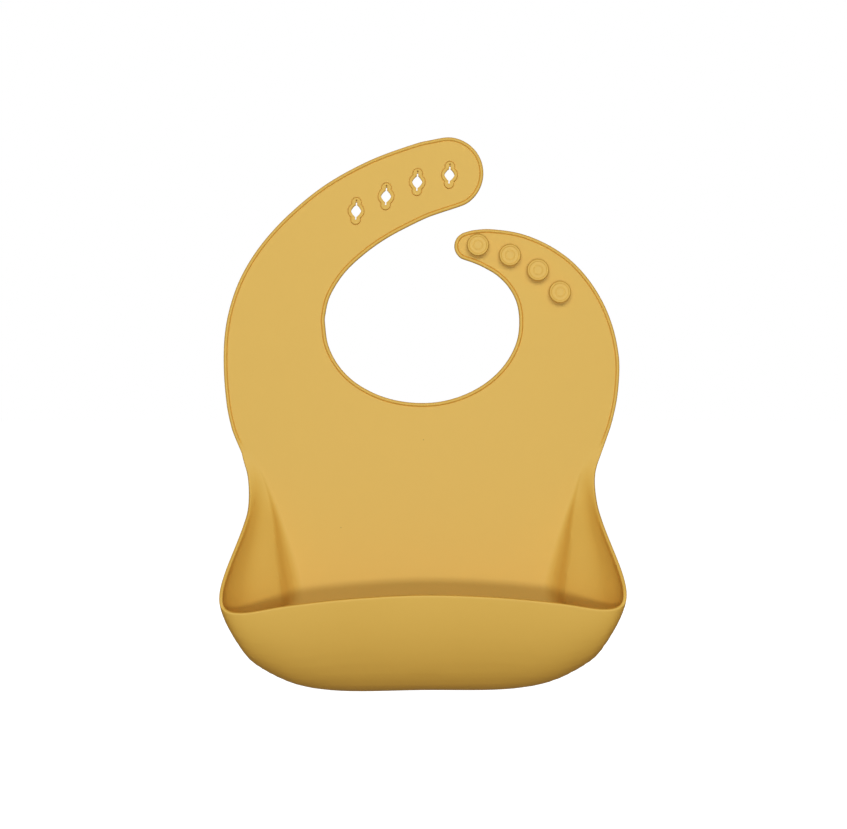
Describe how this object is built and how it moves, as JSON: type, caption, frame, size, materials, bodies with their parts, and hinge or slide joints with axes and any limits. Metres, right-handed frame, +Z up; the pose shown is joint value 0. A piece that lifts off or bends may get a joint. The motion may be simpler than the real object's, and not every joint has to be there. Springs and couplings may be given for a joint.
{
  "type": "silicone baby bib",
  "caption": "Moulded silicone baby bib with a neck opening, stud and slot strap closure and a deep catch pocket along its lower edge.",
  "frame": {"origin": "centre of the neck opening, on the back face of the sheet", "axes": "+Z up the wearer's chest, -Y out of the front of the bib, +X to the right as seen from the front"},
  "size_m": [0.2273, 0.052, 0.316],
  "materials": {
    "silicone": "matte moulded silicone, mustard yellow",
    "stud_silicone": "satin moulded silicone, mustard yellow"
  },
  "bodies": {
    "chest": {"chest_panel": "silicone"},
    "left_strap_a": {"left_strap_lower": "silicone"},
    "left_strap_b": {"left_strap_middle": "silicone"},
    "left_strap_c": {"left_strap_upper": "silicone", "slot_rim_1": "silicone", "slot_rim_2": "silicone"},
    "left_strap_d": {"left_strap_end": "silicone", "slot_rim_3": "silicone", "slot_rim_4": "silicone"},
    "right_strap_a": {"right_strap_lower": "silicone", "button_4": "stud_silicone"},
    "right_strap_b": {"right_strap_upper": "silicone", "button_3": "stud_silicone"},
    "right_strap_c": {"right_strap_end": "silicone", "button_1": "stud_silicone", "button_2": "stud_silicone"},
    "lower": {"lower_panel": "silicone", "pocket_floor": "silicone", "pocket_side_left": "silicone", "pocket_side_right": "silicone"},
    "pocket_front": {"pocket_front": "silicone"}
  },
  "joints": [
    {"name": "left_strap_curl", "type": "hinge", "parent": "chest", "child": "left_strap_a", "pos_m": [-0.083, -0.001, 0], "axis": [-1, 0, 0], "range_deg": [-20, 35], "stiffness_Nm_per_rad": 0.03},
    {"name": "left_strap_curl_b", "type": "hinge", "parent": "left_strap_a", "child": "left_strap_b", "pos_m": [-0.07396, -0.001, 0.03768], "axis": [-0.891, 0, 0.454], "range_deg": [-20, 35], "stiffness_Nm_per_rad": 0.02},
    {"name": "left_strap_curl_c", "type": "hinge", "parent": "left_strap_b", "child": "left_strap_c", "pos_m": [-0.05223, -0.001, 0.0645], "axis": [-0.6293, 0, 0.7771], "range_deg": [-20, 35], "stiffness_Nm_per_rad": 0.02},
    {"name": "left_strap_curl_d", "type": "hinge", "parent": "left_strap_c", "child": "left_strap_d", "pos_m": [-0.0137, -0.001, 0.08186], "axis": [-0.165, 0, 0.9863], "range_deg": [-20, 35], "stiffness_Nm_per_rad": 0.01},
    {"name": "right_strap_curl", "type": "hinge", "parent": "chest", "child": "right_strap_a", "pos_m": [0.08, -0.001, 0], "axis": [-1, 0, 0], "range_deg": [-20, 35], "stiffness_Nm_per_rad": 0.02},
    {"name": "right_strap_curl_b", "type": "hinge", "parent": "right_strap_a", "child": "right_strap_b", "pos_m": [0.07161, -0.001, 0.0223], "axis": [-0.9548, 0, -0.2974], "range_deg": [-20, 35], "stiffness_Nm_per_rad": 0.01},
    {"name": "right_strap_curl_c", "type": "hinge", "parent": "right_strap_b", "child": "right_strap_c", "pos_m": [0.05988, -0.001, 0.03429], "axis": [-0.8678, 0, -0.497], "range_deg": [-20, 35], "stiffness_Nm_per_rad": 0.01},
    {"name": "waist_fold", "type": "hinge", "parent": "chest", "child": "lower", "pos_m": [0, -0.0024, -0.069], "axis": [-1, 0, 0], "range_deg": [-15, 90], "stiffness_Nm_per_rad": 0.06, "springref_deg": 11.46},
    {"name": "pocket_press", "type": "hinge", "parent": "lower", "child": "pocket_front", "pos_m": [0, -0.024, -0.2045], "axis": [-1, 0, 0], "range_deg": [-15, 12], "stiffness_Nm_per_rad": 0.08, "springref_deg": 2.12}
  ],
  "couplings": [
    {"joint": "left_strap_curl_b", "follows": "left_strap_curl", "ratio": 1},
    {"joint": "left_strap_curl_c", "follows": "left_strap_curl", "ratio": 1},
    {"joint": "left_strap_curl_d", "follows": "left_strap_curl", "ratio": 1},
    {"joint": "right_strap_curl_b", "follows": "right_strap_curl", "ratio": 1},
    {"joint": "right_strap_curl_c", "follows": "right_strap_curl", "ratio": 1}
  ]
}
